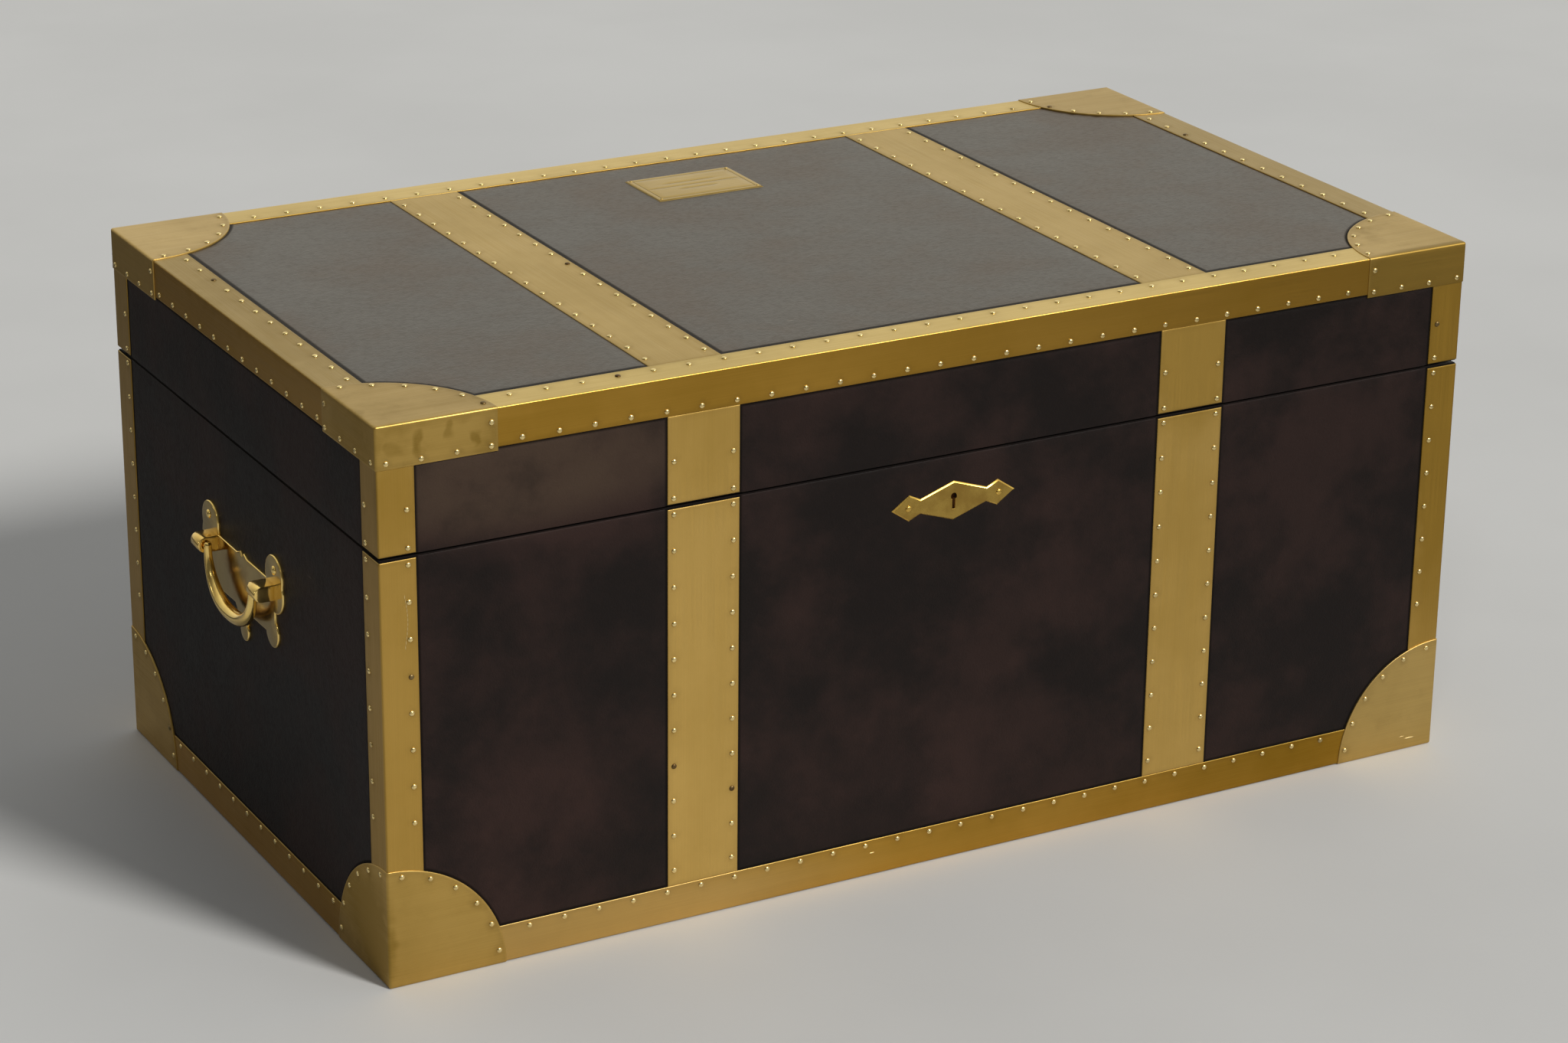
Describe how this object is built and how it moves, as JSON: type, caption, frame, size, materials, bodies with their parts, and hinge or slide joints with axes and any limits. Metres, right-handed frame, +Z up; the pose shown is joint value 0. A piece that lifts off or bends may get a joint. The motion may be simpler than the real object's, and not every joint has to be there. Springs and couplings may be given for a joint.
{
  "type": "storage chest",
  "caption": "Large boarded trunk covered in dark leather and edged with nailed brass strip, with a hinged lid, a keyhole plate and a drop handle on each end.",
  "frame": {"origin": "on the floor under the middle of the chest", "axes": "+X along the chest's width, to the right seen from the front; +Y to the back; +Z up"},
  "size_m": [1.1192, 0.6074, 0.5013],
  "materials": {
    "board_wood": "dark stained boards, dull",
    "side_leather": "near black brown leather, faint mottling, satin",
    "lid_leather": "grey brown worn leather, slightly wrinkled, satin",
    "strap_brass": "brushed along the strap, aged",
    "angle_brass": "brushed along the strip, aged",
    "band_brass": "brushed along the strip, aged",
    "cap_brass": "brushed, some tarnish",
    "nail_brass": "polished domes",
    "cast_brass": "polished cast brass",
    "plate_brass": "satin, plain ruled lines",
    "fitting_brass": "plain sheet brass",
    "lock_steel": "plain"
  },
  "bodies": {
    "base": {"base_front_board": "board_wood", "base_back_board": "board_wood", "base_left_board": "board_wood", "base_right_board": "board_wood", "base_floor_board": "board_wood", "base_front_leather": "side_leather", "base_back_leather": "side_leather", "base_left_leather": "side_leather", "base_right_leather": "side_leather", "base_straps": "strap_brass", "base_corner_angles": "angle_brass", "base_bottom_bands": "band_brass", "base_corner_caps": "cap_brass", "base_front_nails": "nail_brass", "base_back_nails": "nail_brass", "base_side_nails": "nail_brass", "lock_escutcheon": "cast_brass", "escutcheon_pins": "nail_brass", "lock_case": "lock_steel", "left_handle_plate": "cast_brass", "right_handle_plate": "cast_brass", "handle_screws": "cast_brass", "hinge_base_leaves": "fitting_brass", "hinge_pins": "lock_steel", "base_fitting_screws": "fitting_brass", "stay_base_brackets": "fitting_brass"},
    "lid": {"lid_top_board": "board_wood", "lid_front_board": "board_wood", "lid_back_board": "board_wood", "lid_left_board": "board_wood", "lid_right_board": "board_wood", "lid_top_leather": "lid_leather", "lid_front_leather": "side_leather", "lid_back_leather": "side_leather", "lid_left_leather": "side_leather", "lid_right_leather": "side_leather", "lid_top_straps": "strap_brass", "lid_face_straps": "strap_brass", "lid_corner_angles": "angle_brass", "lid_top_bands": "band_brass", "lid_corner_caps": "cap_brass", "lid_top_nails": "nail_brass", "lid_front_nails": "nail_brass", "lid_back_nails": "nail_brass", "lid_side_nails": "nail_brass", "name_plate": "plate_brass", "name_plate_pins": "nail_brass", "hinge_lid_leaves": "fitting_brass", "lid_strike": "fitting_brass", "stay_lid_brackets": "fitting_brass", "lid_fitting_screws": "fitting_brass"},
    "lock_bolt": {"lock_bolt": "fitting_brass"},
    "left_bail": {"left_bail": "cast_brass"},
    "right_bail": {"right_bail": "cast_brass"},
    "left_stay_lower": {"left_stay_lower_link": "fitting_brass"},
    "right_stay_lower": {"right_stay_lower_link": "fitting_brass"},
    "left_stay_upper": {"left_stay_upper_link": "fitting_brass"},
    "right_stay_upper": {"right_stay_upper_link": "fitting_brass"}
  },
  "joints": [
    {"name": "lid_hinge", "type": "hinge", "parent": "base", "child": "lid", "pos_m": [0, 0.3025, 0.385], "axis": [-1, 0, 0], "range_deg": [0, 95]},
    {"name": "left_bail_swing", "type": "hinge", "parent": "base", "child": "left_bail", "pos_m": [-0.5521, 0, 0.277], "axis": [0, 1, 0], "range_deg": [-4, 175]},
    {"name": "right_bail_swing", "type": "hinge", "parent": "base", "child": "right_bail", "pos_m": [0.5521, 0, 0.277], "axis": [0, -1, 0], "range_deg": [-4, 175]},
    {"name": "lock_bolt_slide", "type": "slide", "parent": "base", "child": "lock_bolt", "axis": [1, 0, 0], "range_m": [0, 0.008]},
    {"name": "left_stay_lower_turn", "type": "hinge", "parent": "base", "child": "left_stay_lower", "pos_m": [-0.52, 0.12524, 0.35374], "axis": [-1, 0, 0], "range_deg": [0, 95]},
    {"name": "left_stay_upper_turn", "type": "hinge", "parent": "left_stay_lower", "child": "left_stay_upper", "pos_m": [-0.52, -0.05203, 0.385], "axis": [-1, 0, 0], "range_deg": [-95, 0]},
    {"name": "right_stay_lower_turn", "type": "hinge", "parent": "base", "child": "right_stay_lower", "pos_m": [0.52, 0.12524, 0.35374], "axis": [-1, 0, 0], "range_deg": [0, 95]},
    {"name": "right_stay_upper_turn", "type": "hinge", "parent": "right_stay_lower", "child": "right_stay_upper", "pos_m": [0.52, -0.05203, 0.385], "axis": [-1, 0, 0], "range_deg": [-95, 0]}
  ],
  "couplings": [
    {"joint": "left_stay_lower_turn", "follows": "lid_hinge", "ratio": 1},
    {"joint": "left_stay_upper_turn", "follows": "lid_hinge", "ratio": -1},
    {"joint": "right_stay_lower_turn", "follows": "lid_hinge", "ratio": 1},
    {"joint": "right_stay_upper_turn", "follows": "lid_hinge", "ratio": -1}
  ]
}
